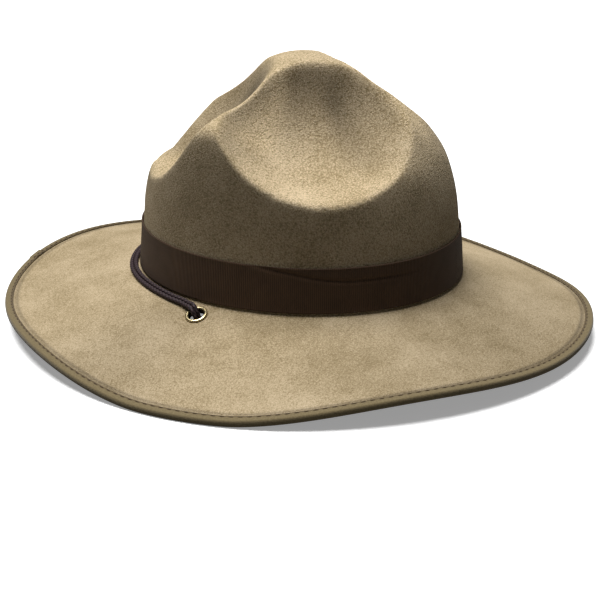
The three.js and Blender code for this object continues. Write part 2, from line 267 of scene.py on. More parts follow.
def level_curve(levels, share, mirror):
    """Catmull-Rom curve through evenly spaced levels, mirrored with a sign past the last one."""
    last = len(levels) - 1
    at = np.clip(share, 0, 1) * last
    i = np.minimum(at.astype(int), last - 1)
    f = at - i
    all_levels = np.concatenate([[2 * levels[0] - levels[1]], levels, [mirror * levels[-2]]])
    a, b, c, d = (all_levels[i + k] for k in range(4))
    return 0.5 * (2 * b + (c - a) * f + (2 * a - 5 * b + 4 * c - d) * f ** 2
                  + (3 * b - a - 3 * c + d) * f ** 3)


def dome_point(angle, share):
    """Head oval times the section's out, raised by its up; sections are eased from one to the next."""
    turned = np.abs(np.arctan2(np.sin(angle), np.cos(angle)))
    out = level_curve(CREST_SECTIONS[0][3], share, -1)
    up = level_curve(CREST_SECTIONS[0][4], share, 1)
    for section, following in zip(CREST_SECTIONS, CREST_SECTIONS[1:]):
        start, end = np.radians(section[2]), np.radians(following[1])
        part = ease((turned - start) / (end - start))
        out = out + part * (level_curve(following[3], share, -1)
                            - level_curve(section[3], share, -1))
        up = up + part * (level_curve(following[4], share, 1)
                          - level_curve(section[4], share, 1))
    return np.stack([HEAD_HALF_WIDTH * out * np.sin(angle),
                     -HEAD_HALF_LENGTH * out * np.cos(angle), CROWN_HEIGHT * up], -1)


def soft_least(a, b, width):
    """The lesser of two lengths, less (width - |a - b|)^2 / (4 width) where they are close."""
    near = np.maximum(width - np.abs(a - b), 0)
    return np.minimum(a, b) - near * near / (4 * width)


def press_reach(pull, ray, press, side):
    """First root r of |(pull + r ray - middle) / half lengths|^2 = 1, far off where it misses."""
    _, degrees, out, up, half_out, half_across, half_up = press
    angle = side * np.radians(degrees)
    middle = np.array([HEAD_HALF_WIDTH * out * np.sin(angle),
                       -HEAD_HALF_LENGTH * out * np.cos(angle), CROWN_HEIGHT * up])
    outward = np.array([middle[0], middle[1], 0]) / np.hypot(middle[0], middle[1])
    frame_axes = np.array([outward / (half_out * HEAD_HALF_WIDTH),
                           np.cross([0, 0, 1], outward) / (half_across * HEAD_HALF_WIDTH),
                           np.array([0, 0, 1]) / (half_up * CROWN_HEIGHT)])
    start = frame_axes @ (pull - middle)
    step = ray @ frame_axes.T
    square, cross = (step * step).sum(-1), step @ start
    inside = cross * cross - square * (start @ start - 1)
    root = (-cross - np.sqrt(np.maximum(inside, 0))) / square
    return np.where((inside > 0) & (cross < 0), root, PRESS_MISSED)


def crown_point(angle, share):
    """Dome point pulled to a point low on the crown's axis as far as the softened presses push it."""
    dome = dome_point(angle, share)
    pull = np.array([0, 0, PULL_SHARE * CROWN_HEIGHT])
    ray = dome - pull
    full = np.linalg.norm(ray, axis=-1)
    reach = full
    for press in CROWN_PRESSES:
        for side in (-1, 1):
            reach = soft_least(reach, press_reach(pull, ray, press, side) * full, PRESS_ROUNDING)
    point = pull + ray * (reach / full)[..., None]
    lean = PEAK_FORWARD * np.maximum(point[..., 2] / CROWN_HEIGHT, 0) ** PEAK_LEAN_POWER
    return point + np.stack([np.zeros_like(lean), -CROWN_FORWARD - lean,
                             np.full_like(lean, CROWN_BASE_HEIGHT)], -1)


def wave_height(angle):
    """Sum of cosines and sines of whole numbers of turns, from the table of waves."""
    return BRIM_WAVE_HEIGHT * sum(
        ahead * np.cos(count * angle) + aside * np.sin(count * angle)
        for count, ahead, aside in BRIM_WAVES)


DEGREES = np.radians(np.arange(360))
LOWEST_WAVE = wave_height(DEGREES).min()


def rested_height(angle):
    """(c + sqrt(c^2 + s^2)) / 2 of the wave's clearance c, so that the lowest waves lie flat."""
    clear = wave_height(angle) - LOWEST_WAVE - BRIM_REST_DEPTH
    return (clear + np.hypot(clear, BRIM_REST_SOFTNESS)) / 2


LOWEST_REST = rested_height(DEGREES).min()
FELT_UNDERSIDE = BINDING_THICKNESS + BINDING_GAP


def brim_point(angle, share):
    """Straight from the crown oval to the edge oval in plan, and dished in height."""
    drawn = BRIM_DRAW_IN * np.cos(4 * angle)
    edge_x = (HEAD_HALF_WIDTH + BRIM_WIDTH + drawn) * np.sin(angle)
    edge_y = -(HEAD_HALF_LENGTH + BRIM_WIDTH + drawn) * np.cos(angle)
    edge_z = rested_height(angle) - LOWEST_REST + FELT_UNDERSIDE + FELT_THICKNESS
    root_x = HEAD_HALF_WIDTH * np.sin(angle)
    root_y = -HEAD_HALF_LENGTH * np.cos(angle) - CROWN_FORWARD
    return np.stack([
        root_x + (edge_x - root_x) * share,
        root_y + (edge_y - root_y) * share,
        edge_z + (CROWN_BASE_HEIGHT - edge_z) * np.clip(1 - share, 0, 1) ** BRIM_DISH,
    ], -1)


FIRST_LEVEL_HEIGHT = CROWN_HEIGHT * CREST_SECTIONS[0][4][1]
SECTION_STEPS = len(CREST_SECTIONS[0][4]) - 1
FILLET_UP = CROWN_FILLET / FIRST_LEVEL_HEIGHT / SECTION_STEPS
FILLET_OUT = CROWN_FILLET / BRIM_WIDTH


def hat_point(angle, along):
    """Outside of the felt: 0 at the peak, 1 at the crown's foot and 2 at the brim edge."""
    angle, along = np.broadcast_arrays(np.asarray(angle, float), np.asarray(along, float))
    crown = crown_point(angle, 1 - np.minimum(along, 1) * (1 - FILLET_UP))
    brim = brim_point(angle, FILLET_OUT + (np.maximum(along, 1) - 1) * (1 - FILLET_OUT))
    return np.where((along > 1)[..., None], brim, crown)


def unit(v):
    """Vectors divided by their lengths."""
    return v / np.maximum(np.linalg.norm(v, axis=-1, keepdims=True), 1e-12)


def hat_normal(angle, along):
    """Cross product of the steps down the felt and round it, from central differences."""
    angle, along = np.broadcast_arrays(np.asarray(angle, float), np.asarray(along, float))
    on_brim = along > 1
    low = np.maximum(along - NORMAL_STEP, np.where(on_brim, BRIM_START, 0))
    high = np.minimum(along + NORMAL_STEP, np.where(on_brim, 2, 1))
    across = hat_point(angle + NORMAL_STEP, along) - hat_point(angle - NORMAL_STEP, along)
    down = hat_point(angle, high) - hat_point(angle, low)
    return unit(np.cross(down, across))


# Meshes from arrays

def grid_faces(rows, columns, wrap_rows=False, wrap_columns=True, start=0):
    """Four corners of each cell of a grid of points, row by row, turned to face outwards."""
    r = np.arange(rows if wrap_rows else rows - 1)[:, None]
    c = np.arange(columns if wrap_columns else columns - 1)[None, :]
    below, beside = (r + 1) % rows, (c + 1) % columns
    corners = [r * columns + c, below * columns + c, below * columns + beside,
               r * columns + beside]
    return np.stack(np.broadcast_arrays(*corners), -1).reshape(-1, 4) + start


def make_piece(name, points, faces, material, uv=None, values=None):
    """One smooth mesh from points, a list of face arrays, and values or UVs given by point."""
    mesh = bpy.data.meshes.new(name)
    corners = np.concatenate([f.ravel() for f in faces]).astype(np.int32)
    sizes = np.concatenate([np.full(len(f), f.shape[1]) for f in faces])
    starts = np.concatenate([[0], np.cumsum(sizes)[:-1]]).astype(np.int32)
    mesh.vertices.add(len(points))
    mesh.vertices.foreach_set("co", points.astype(np.float32).ravel())
    mesh.loops.add(len(corners))
    mesh.loops.foreach_set("vertex_index", corners)
    mesh.polygons.add(len(sizes))
    mesh.polygons.foreach_set("loop_start", starts)
    mesh.update(calc_edges=True)
    mesh.polygons.foreach_set("use_smooth", np.ones(len(sizes), bool))
    for key, value in (values or {}).items():
        mesh.attributes.new(key, "FLOAT", "POINT").data.foreach_set(
            "value", value.astype(np.float32).ravel())
    if uv is not None:
        layer = mesh.uv_layers.new(name="UVMap")
        layer.data.foreach_set("uv", uv[corners].astype(np.float32).ravel())
    mesh.update()
    piece = bpy.data.objects.new(name, mesh)
    bpy.context.collection.objects.link(piece)
    mesh.materials.append(material)
    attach(piece, "root")
    return piece


# Shader node groups

def new_group(name, inputs, outputs):
    """An empty shader group with float, vector or colour sockets: (name, kind, default)."""
    group = bpy.data.node_groups.new(name, "ShaderNodeTree")
    kinds = {"value": "NodeSocketFloat", "vector": "NodeSocketVector",
             "colour": "NodeSocketColor"}
    for socket_name, kind, default in inputs:
        socket = group.interface.new_socket(socket_name, in_out="INPUT", socket_type=kinds[kind])
        if default is not None:
            socket.default_value = default
    for socket_name, kind in outputs:
        group.interface.new_socket(socket_name, in_out="OUTPUT", socket_type=kinds[kind])
    return group, group.nodes.new("NodeGroupInput"), group.nodes.new("NodeGroupOutput")


def feed(tree, socket, value):
    """Links another socket to this one, or sets its number or colour."""
    if isinstance(value, (int, float)):
        socket.default_value = value
    elif isinstance(value, tuple):
        socket.default_value = (*value, 1)
    else:
        tree.links.new(value, socket)


def math_node(tree, operation, a, b=None, clamp=False):
    """A Math node fed with sockets or numbers; gives its output socket."""
    node = tree.nodes.new("ShaderNodeMath")
    node.operation = operation
    node.use_clamp = clamp
    feed(tree, node.inputs[0], a)
    if b is not None:
        feed(tree, node.inputs[1], b)
    return node.outputs[0]


def noise_node(tree, vector, scale, detail=2.0, roughness=0.5):
    """A 3-D Noise texture; scale is a number or a socket."""
    node = tree.nodes.new("ShaderNodeTexNoise")
    node.inputs["Detail"].default_value = detail
    node.inputs["Roughness"].default_value = roughness
    tree.links.new(vector, node.inputs["Vector"])
    feed(tree, node.inputs["Scale"], scale)
    return node.outputs["Fac"]


def range_node(tree, value, low, high, to_low=0.0, to_high=1.0):
    """Map Range of a value from low..high to to_low..to_high, clamped."""
    node = tree.nodes.new("ShaderNodeMapRange")
    tree.links.new(value, node.inputs["Value"])
    for key, number in (("From Min", low), ("From Max", high), ("To Min", to_low),
                        ("To Max", to_high)):
        node.inputs[key].default_value = number
    return node.outputs["Result"]


def mix_colour(tree, factor, a, b):
    """A colour Mix node; factor, a and b are sockets, colours or numbers."""
    node = tree.nodes.new("ShaderNodeMix")
    node.data_type = "RGBA"
    feed(tree, node.inputs[0], factor)
    feed(tree, node.inputs[6], a)
    feed(tree, node.inputs[7], b)
    return node.outputs[2]


def pebble_node(tree, vector, scale):
    """Distance to the nearest point of a 3-D Voronoi texture, near 0 in the middle of a pebble."""
    node = tree.nodes.new("ShaderNodeTexVoronoi")
    tree.links.new(vector, node.inputs["Vector"])
    feed(tree, node.inputs["Scale"], scale)
    return node.outputs["Distance"]


def felt_nap_group():
    """Felt nap: short fibres and pebbled clumps over soft patches, as a shade and a height.

    Shade = 1/2 + fine + (clumps + pebbles) strength + patches + blotches, each centred on 0.
    Coarse runs from 0 on the smooth brim to 1 on the pebbled crown and sets the strength.
    """
    group, given, result = new_group(
        "felt_nap",
        [("Vector", "vector", None), ("Coarse", "value", 1.0), ("Fine Scale", "value", 1700.0),
         ("Pebble Scale", "value", 900.0)],
        [("Shade", "value"), ("Height", "value")])
    vector, coarse = given.outputs["Vector"], given.outputs["Coarse"]

    def centred(value, amount):
        return math_node(group, "MULTIPLY", math_node(group, "SUBTRACT", value, 0.5), amount)

    fine = centred(noise_node(group, vector, given.outputs["Fine Scale"], 3.0, 0.7), NAP_FINE)
    clumps = centred(noise_node(group, vector, given.outputs["Pebble Scale"], 3.0, 0.7),
                     NAP_CLUMPS)
    pebbles = centred(pebble_node(group, vector, given.outputs["Pebble Scale"]), NAP_PEBBLES)
    patches = centred(noise_node(group, vector, NAP_PATCH_SCALE, 4.0, 0.6), NAP_PATCHES)
    blotches = centred(noise_node(group, vector, NAP_BLOTCH_SCALE, 4.0, 0.6), NAP_BLOTCHES)
    strength = range_node(group, coarse, 0.0, 1.0, NAP_SMOOTH_STRENGTH, 1.0)
    rough = math_node(group, "MULTIPLY", math_node(group, "ADD", clumps, pebbles), strength)
    grain = math_node(group, "ADD", rough, fine)
    soft = math_node(group, "ADD", patches, blotches)
    shade = math_node(group, "ADD", math_node(group, "ADD", grain, soft), 0.5, clamp=True)
    group.links.new(shade, result.inputs["Shade"])
    group.links.new(math_node(group, "ADD", grain, 0.5), result.inputs["Height"])
    return group


def weave_group():
    """Plain weave: sin of the two UV directions gives crossing threads, with uneven fibres."""
    group, given, result = new_group(
        "weave",
        [("Vector", "vector", None), ("Along", "value", 2000.0), ("Across", "value", 2000.0),
         ("Uneven", "value", 0.3)],
        [("Shade", "value"), ("Height", "value")])
    parts = group.nodes.new("ShaderNodeSeparateXYZ")
    group.links.new(given.outputs["Vector"], parts.inputs[0])
    waves = []
    for axis, key in ((0, "Along"), (1, "Across")):
        turn = math_node(group, "MULTIPLY", parts.outputs[axis], given.outputs[key])
        waves.append(math_node(group, "SINE", math_node(group, "MULTIPLY", turn, FULL_TURN)))
    crossing = math_node(group, "MULTIPLY", waves[0], waves[1])
    fibre = math_node(group, "SUBTRACT", noise_node(group, given.outputs["Vector"], 900.0), 0.5)
    uneven = math_node(group, "MULTIPLY", fibre, given.outputs["Uneven"])
    height = math_node(group, "ADD", math_node(group, "MULTIPLY", crossing, 0.35), uneven)
    group.links.new(math_node(group, "ADD", height, 0.5, clamp=True), result.inputs["Shade"])
    group.links.new(math_node(group, "ADD", height, 0.5), result.inputs["Height"])
    return group


def rib_group():
    """Ribbon ribs: the sine of the UV's first direction, with a slow drift in tone; the shade follows
    the rib's height, a painted highlight on the tops and painted shade in the grooves.
    """
    group, given, result = new_group(
        "ribs", [("Vector", "vector", None), ("Pitch", "value", RIB_PITCH)],
        [("Shade", "value"), ("Height", "value")])
    parts = group.nodes.new("ShaderNodeSeparateXYZ")
    group.links.new(given.outputs["Vector"], parts.inputs[0])
    turn = math_node(group, "DIVIDE", parts.outputs[0], given.outputs["Pitch"])
    rib = math_node(group, "SINE", math_node(group, "MULTIPLY", turn, FULL_TURN))
    height = math_node(group, "MULTIPLY", math_node(group, "ADD", rib, 1.0), 0.5)
    drift = noise_node(group, given.outputs["Vector"], 90.0, 3.0)
    # Shade: painted light by rib height plus a random drift in tone
    shade = math_node(group, "ADD", math_node(group, "MULTIPLY", height, 0.55),
                      math_node(group, "MULTIPLY", drift, 0.5))
    group.links.new(shade, result.inputs["Shade"])
    group.links.new(height, result.inputs["Height"])
    return group


def new_material(name, colour, roughness, metallic=0.0, sheen=0.0, specular=0.5):
    """A Principled material, its plain numbers set on the shader's own sockets."""
    material = bpy.data.materials.new(name)
    material.use_nodes = True
    shader = material.node_tree.nodes["Principled BSDF"]
    shader.inputs["Base Color"].default_value = (*colour, 1)
    shader.inputs["Roughness"].default_value = roughness
    shader.inputs["Metallic"].default_value = metallic
    shader.inputs["Sheen Weight"].default_value = sheen
    shader.inputs["Sheen Roughness"].default_value = 0.5
    shader.inputs["Specular IOR Level"].default_value = specular
    material.diffuse_color = (*colour, 1)
    return material, material.node_tree, shader


def use_group(tree, group, **numbers):
    """A node that holds the group, with some of its inputs set by name."""
    node = tree.nodes.new("ShaderNodeGroup")
    node.node_tree = group
    for key, value in numbers.items():
        node.inputs[key.replace("_", " ")].default_value = value
    return node


def add_bump(tree, shader, height, distance, strength):
    """A Bump node from a height to the shader's normal."""
    bump = tree.nodes.new("ShaderNodeBump")
    bump.inputs["Strength"].default_value = strength
    bump.inputs["Distance"].default_value = distance
    tree.links.new(height, bump.inputs["Height"])
    tree.links.new(bump.outputs["Normal"], shader.inputs["Normal"])


def felt_material(nap):
    """Tan felt: three tones by the nap's shade times the tone attribute, which holds painted light and
    shade, coarser on the crown.
    """
    material, tree, shader = new_material("tan_felt", FELT_MIDDLE, 0.95, sheen=0.3, specular=0.1)
    shader.inputs["Sheen Tint"].default_value = (*FELT_SHEEN_TINT, 1)
    place = tree.nodes.new("ShaderNodeTexCoord").outputs["Object"]
    crown = tree.nodes.new("ShaderNodeAttribute")
    crown.attribute_name = "crown"
    fibres = use_group(tree, nap)
    tree.links.new(place, fibres.inputs["Vector"])
    tree.links.new(crown.outputs["Fac"], fibres.inputs["Coarse"])
    dark = range_node(tree, fibres.outputs["Shade"], 0.1, 0.55)
    light = range_node(tree, fibres.outputs["Shade"], 0.5, 0.95)
    low_tone = mix_colour(tree, dark, FELT_DARK, FELT_MIDDLE)
    # The tone attribute scales the colour by felt_tone's painted light and shade and darker brim
    # places
    tone = tree.nodes.new("ShaderNodeAttribute")
    tone.attribute_name = "tone"
    painted_shading = tree.nodes.new("ShaderNodeVectorMath")
    painted_shading.operation = "SCALE"
    tree.links.new(mix_colour(tree, light, low_tone, FELT_LIGHT), painted_shading.inputs[0])
    tree.links.new(tone.outputs["Fac"], painted_shading.inputs["Scale"])
    tree.links.new(painted_shading.outputs[0], shader.inputs["Base Color"])
    add_bump(tree, shader, fibres.outputs["Height"], distance=0.8 * MM, strength=0.65)
    return material


def ribbon_material(ribs):
    """Dark warm ribbon with upright ribs painted lighter on their tops and darker in their grooves,
    and a low sheen.
    """
    material, tree, shader = new_material("brown_ribbon", RIBBON_BROWN, 0.6, sheen=0.02,
                                          specular=0.22)
    uv = tree.nodes.new("ShaderNodeTexCoord").outputs["UV"]
    ridge = use_group(tree, ribs)
    tree.links.new(uv, ridge.inputs["Vector"])
    tone = mix_colour(tree, ridge.outputs["Shade"], RIBBON_DARK, RIBBON_LIGHT)
    tree.links.new(tone, shader.inputs["Base Color"])
    add_bump(tree, shader, ridge.outputs["Height"], distance=0.25 * MM, strength=0.9)
    return material


def cloth_material(name, weave, low, high, roughness, thread_count, uneven, depth, edge=None):
    """Woven cloth of two tones on the piece's UVs, darkened to the thread's brown as painted shade
    where the edge attribute is 1.
    """
    material, tree, shader = new_material(name, high, roughness, sheen=0.2, specular=0.2)
    uv = tree.nodes.new("ShaderNodeTexCoord").outputs["UV"]
    cloth = use_group(tree, weave, Along=thread_count, Across=thread_count, Uneven=uneven)
    tree.links.new(uv, cloth.inputs["Vector"])
    tone = mix_colour(tree, cloth.outputs["Shade"], low, high)
    if edge:
        # The edge attribute mixes in painted shade, in the thread's brown
        rim = tree.nodes.new("ShaderNodeAttribute")
        rim.attribute_name = edge
        tone = mix_colour(tree, rim.outputs["Fac"], tone, THREAD_BROWN)
    tree.links.new(tone, shader.inputs["Base Color"])
    add_bump(tree, shader, cloth.outputs["Height"], depth, strength=0.7)
    return material


def cord_material():
    """Plum cord: painted highlights on the plaits' tops and painted shade in the furrows, by the
    relief attribute.
    """
    material, tree, shader = new_material("plum_cord", CORD_PLUM, 0.6, specular=0.25)
    relief = tree.nodes.new("ShaderNodeAttribute")
    relief.attribute_name = "relief"
    place = tree.nodes.new("ShaderNodeTexCoord").outputs["Object"]
    fibre = noise_node(tree, place, 2600.0, 2.0)
    # Painted light by the relief: only the plaits' tops turn light, plus fibre noise
    height = math_node(tree, "POWER", relief.outputs["Fac"], 3.5)
    shade = math_node(tree, "ADD", math_node(tree, "MULTIPLY", height, 0.75),
                      math_node(tree, "MULTIPLY", fibre, 0.2))
    tone = mix_colour(tree, shade, CORD_FURROW_SHADE, CORD_RIDGE_HIGHLIGHT)
    tree.links.new(tone, shader.inputs["Base Color"])
    add_bump(tree, shader, fibre, distance=0.15 * MM, strength=0.5)
    return material


def brass_material():
    """Pale brass with faint tarnish in its tone and roughness."""
    material, tree, shader = new_material("pale_brass", BRASS, 0.28, metallic=1.0)
    place = tree.nodes.new("ShaderNodeTexCoord").outputs["Object"]
    tarnish = noise_node(tree, place, 420.0, 3.0)
    spots = range_node(tree, tarnish, 0.45, 0.75)
    tree.links.new(mix_colour(tree, spots, BRASS, BRASS_TARNISH), shader.inputs["Base Color"])
    rough = range_node(tree, tarnish, 0.3, 0.8, to_low=0.2, to_high=0.45)
    tree.links.new(rough, shader.inputs["Roughness"])
    return material


# Pieces

FELT_COLUMNS = 336
CROWN_ROWS = 88
BRIM_ROWS = 56


def eyelet_seat(side):
    """Point on top of the brim and its normal, a set distance out from the crown's foot."""
    angle = side * EYELET_ANGLE
    root, edge = brim_point(angle, 0.0), brim_point(angle, 1.0)
    share = EYELET_FROM_CROWN / np.hypot(*(edge - root)[:2])
    along = 1 + (share - FILLET_OUT) / (1 - FILLET_OUT)
    return hat_point(angle, along), hat_normal(angle, along)


def felt_grid():
    """Points outside and inside, row by row from peak to brim edge, and where and how they face."""
    angles = np.arange(FELT_COLUMNS) * FULL_TURN / FELT_COLUMNS
    crown_along = np.linspace(0, 1, CROWN_ROWS + 1)[1:]
    brim_share = np.linspace(0, 1, BRIM_ROWS + 1) ** BRIM_ROW_CROWDING
    brim_along = BRIM_START + (2 - BRIM_START) * brim_share
    along = np.concatenate([crown_along, brim_along])
    angle_grid, along_grid = np.meshgrid(angles, along)
    outside = hat_point(angle_grid, along_grid)
    facing = hat_normal(angle_grid, along_grid)
    return outside, outside - FELT_THICKNESS * facing, angle_grid, along_grid, facing


def felt_tone(angle, along, facing):
    """Share of the felt's colour: painted light where the crown faces up and painted shade where it
    stands upright, plus bells at listed places.

    The crown's bells, painted highlights and painted shade, fade out towards the peak and the wall;
    the brim's bells make it darker over its front and at one place on its near side, and the brim has
    a line of painted shade beside its binding.
    """
    up = ease((facing[..., 2] - FACING_UP_START) / FACING_UP_RUN)
    tones = []
    for shades in (CROWN_PAINTED_SHADING, BRIM_SHADES):
        tone = np.zeros(angle.shape)
        for middle, half_width, share in shades:
            apart = np.abs(np.angle(np.exp(1j * (angle - np.radians(middle)))))
            tone = tone + share * np.exp(-(apart / np.radians(half_width)) ** 2)
        tones.append(tone)
    painted_shading = (ease((along - CROWN_SHADE_START) / CROWN_SHADE_START_RUN)
            * ease((CROWN_SHADE_END - along) / CROWN_SHADE_END_RUN))
    crown = UPRIGHT_TONE + FACING_UP_TONE * up + tones[0] * painted_shading
    # Painted shade on the brim felt beside the binding's inner edge
    past_seam = along - 2 + BINDING_WIDTH / BRIM_WIDTH + SEAM_SHADE_OUT
    seam = SEAM_SHADE * np.exp(-(past_seam / SEAM_SHADE_WIDTH) ** 2)
    return np.where(along > 1, BRIM_TONE + tones[1] - seam, crown)


def cut_eyelet_holes(outside, inside, faces):
    """Leaves out the cells inside each hole and moves the points on its rim to a true circle."""
    hole = EYELET_HOLE + EYELET_WALL + EYELET_GAP
    kept = np.ones(len(faces), bool)
    for side in (-1, 1):
        seat, facing = eyelet_seat(side)
        offsets = outside - seat
        offsets -= (offsets @ facing)[:, None] * facing
        reach = np.linalg.norm(offsets, axis=1)
        near = np.linalg.norm(outside - seat, axis=1) < 4 * hole
        middle = np.linalg.norm(offsets[faces].mean(1), axis=1)
        inner = (middle < hole) & near[faces].all(1)
        rim = np.intersect1d(faces[inner], faces[~inner & kept])
        push = offsets[rim] * (hole / reach[rim] - 1)[:, None]
        outside[rim] += push
        inside[rim] += push
        kept &= ~inner
    return faces[kept]


def open_edges(faces, count):
    """Directed edges of the faces that no other face shares."""
    edges = np.stack([faces, np.roll(faces, -1, 1)], -1).reshape(-1, 2).astype(np.int64)
    code, reverse = edges[:, 0] * count + edges[:, 1], edges[:, 1] * count + edges[:, 0]
    return edges[~np.isin(code, reverse)]


def felt_piece(material):
    """Crown and brim: outside and inside skins, joined round the brim edge and both holes."""
    outside, inside, angle, along, facing = felt_grid()
    rows, columns = along.shape
    count = rows * columns
    outside, inside = outside.reshape(-1, 3), inside.reshape(-1, 3)
    faces = cut_eyelet_holes(outside, inside, grid_faces(rows, columns))
    open_rims = open_edges(faces, count)
    open_rims = open_rims[~(open_rims < columns).all(1)]
    p, q = open_rims.T
    walls = np.stack([q, p, p + count, q + count], -1)
    peak = crown_point(np.array([0.0]), np.array([1.0]))
    peak_inside = peak - [0, 0, FELT_THICKNESS]
    c = np.arange(columns)
    beside = (c + 1) % columns
    top, bottom = 2 * count, 2 * count + 1
    caps = np.concatenate([
        np.stack([np.full(columns, top), c, beside], -1),
        np.stack([np.full(columns, bottom), beside + count, c + count], -1)])
    points = np.concatenate([outside, inside, peak, peak_inside])
    crown = ease((PEBBLES_END - along.ravel()) / PEBBLES_FADE)
    crown = np.concatenate([np.tile(crown, 2), [1, 1]])
    # Tone attribute: felt_tone's painted light and shade and darker brim places, with the peak's two
    # tones
    tone = np.concatenate([np.tile(felt_tone(angle, along, facing).ravel(), 2),
                           [PEAK_TONE, INNER_PEAK_TONE]])
    piece = make_piece("felt", points, [faces, faces[:, ::-1] + count, walls, caps], material,
                       values={"crown": crown, "tone": tone})
    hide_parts("felt_body")


def band_piece(material):
    """Ribbon: an outward offset of the crown's foot.

    The offset rises in a bell at both selvages, sways with the sine of the angle, and dips in a
    bell along one crease that eases down from the top edge.
    """
    columns, rows = 900, 40
    angles = np.arange(columns) * FULL_TURN / columns
    share = np.linspace(0, 1, rows + 1)
    heights = BAND_LIFT + BAND_HEIGHT * share
    along = (1 - heights / FIRST_LEVEL_HEIGHT / SECTION_STEPS) / (1 - FILLET_UP)
    angle_grid, along_grid = np.meshgrid(angles, along)
    normal = hat_normal(angle_grid, along_grid) * [1, 1, 0]
    foot = hat_point(angle_grid, along_grid)
    foot[..., 2] = CROWN_BASE_HEIGHT + heights[:, None]
    edge_near = np.minimum(share, 1 - share)[:, None]
    selvage = SELVAGE_RISE * np.exp(-(edge_near / SELVAGE_SHARE) ** 2)
    slack = BAND_SLACK * np.sin(3 * angles + 0.6) * np.sin(np.pi * share)[:, None]
    dropped = ease((angles - CREASE_START) / (CREASE_DEEP - CREASE_START))
    from_crease = share[:, None] - 1 + CREASE_DROP_SHARE * dropped
    fade = (ease((CREASE_END - angles) / CREASE_FADE)
            * ease((angles - CREASE_START) / CREASE_OPENING))
    crease = CREASE_DEPTH * fade * np.exp(-(from_crease / CREASE_WIDTH_SHARE) ** 2)
    off = BAND_GAP + BAND_THICKNESS - BAND_SLACK + selvage + slack - crease
    outer = (foot + unit(normal) * off[..., None])[::-1]
    inner = foot + unit(normal) * BAND_GAP
    grid = np.concatenate([outer, inner])
    distance = angles * (HEAD_HALF_LENGTH + HEAD_HALF_WIDTH) / 2
    v = np.concatenate([heights[::-1], heights])
    uv = np.stack(np.meshgrid(distance, v), -1).reshape(-1, 2)
    piece = make_piece("band", grid.reshape(-1, 3), [grid_faces(len(grid), columns, True)],
                       material, uv=uv)
    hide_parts("hat_band")


def edge_frames(angles):
    """Middle of the felt at the brim edge, the way out from it and the way up, for each angle."""
    edge = hat_point(angles, 2.0)
    facing = hat_normal(angles, 2.0)
    outward = unit(edge - hat_point(angles, 1.97))
    return edge - facing * FELT_THICKNESS / 2, outward, facing


def stitch_angles():
    """Angles of the stitches, evenly spaced along the brim edge's real length."""
    fine = np.linspace(0, FULL_TURN, 3601)
    steps = np.linalg.norm(np.diff(hat_point(fine, 2.0), axis=0), axis=1)
    travelled = np.concatenate([[0], np.cumsum(steps)])
    count = round(travelled[-1] / STITCH_PITCH)
    return np.interp((np.arange(count) + 0.5) / count * travelled[-1], travelled, fine), travelled


def lap_rise(angles):
    """Extra height where the strip's two ends lap over each other at the back."""
    along_edge = np.abs(angles - np.pi) * (HEAD_HALF_LENGTH + BRIM_WIDTH)
    return LAP_THICKNESS * ease((LAP_LENGTH / 2 + LAP_RAMP - along_edge) / LAP_RAMP)


def binding_piece(material):
    """Strip folded over the edge: a profile of two flat flaps and a round nose, swept round it.

    Bells across the flap press it in at its end and along the stitches, deeper at each stitch.
    """
    columns = 1080
    angles = np.arange(columns) * FULL_TURN / columns
    middle, outward, facing = edge_frames(angles)
    inside = FELT_THICKNESS / 2 + BINDING_GAP
    outside = inside + BINDING_THICKNESS
    nose = BINDING_GAP + BINDING_THICKNESS
    turn_in = BINDING_WIDTH - nose
    flap_points = 12
    flap = np.linspace(-turn_in, 0, flap_points)
    bend = np.linspace(0, np.pi, 13)[1:-1]
    out = np.concatenate([flap, nose * np.sin(bend), flap[::-1], flap[[0, 5]],
                          [BINDING_GAP, BINDING_GAP], flap[[5, 0]]])
    up = np.concatenate([np.full(flap_points, outside), outside * np.cos(bend),
                         np.full(flap_points, -outside),
                         [-inside] * 2, [-inside, inside], [inside] * 2])
    top = np.concatenate([np.ones(flap_points), (1 + np.cos(bend)) / 2])
    top = np.concatenate([top, np.zeros(len(out) - len(top))])
    skin_side = np.abs(up) > (inside + outside) / 2
    stitches, _ = stitch_angles()
    nearest = np.abs(angles[:, None] - stitches[None, :]).min(1)
    spacing = FULL_TURN / len(stitches)
    pucker = np.cos(np.pi * np.clip(nearest / spacing * 2, 0, 1)) * 0.5 + 0.5
    from_end = (out + turn_in)[:, None]
    pull = PUCKER_LEAST + (1 - PUCKER_LEAST) * pucker
    pressed = PUCKER_DEPTH * pull * np.exp(-((from_end - STITCH_INSET) / PUCKER_WIDTH) ** 2)
    pressed = pressed + FLAP_PRESS_DEPTH * np.exp(-(from_end / FLAP_PRESS_WIDTH) ** 2)
    lift = top[:, None] * lap_rise(angles) - pressed * np.sign(up)[:, None]
    lift *= skin_side[:, None]
    points = (middle[None] + outward[None] * out[:, None, None]
              + facing[None] * (up[:, None] + lift)[..., None])
    around = np.concatenate([[0], np.cumsum(np.hypot(np.diff(out), np.diff(up)))])
    distance = angles * (HEAD_HALF_LENGTH + HEAD_HALF_WIDTH + 2 * BRIM_WIDTH) / 2
    uv = np.stack(np.meshgrid(distance, around), -1).reshape(-1, 2)
    # Painted shade on the top flap along the strip's inner edge, waving with the puckers
    from_seam = from_end - SEAM_FROM_EDGE - SEAM_WAVE * pucker
    edge = SEAM_PAINTED_SHADE * np.exp(-(from_seam / SEAM_WIDTH) ** 2) * (up > 0)[:, None]
    piece = make_piece("binding", points.reshape(-1, 3),
                       [grid_faces(len(out), columns, True)], material, uv=uv,
                       values={"edge": edge})
    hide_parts("brim_binding")


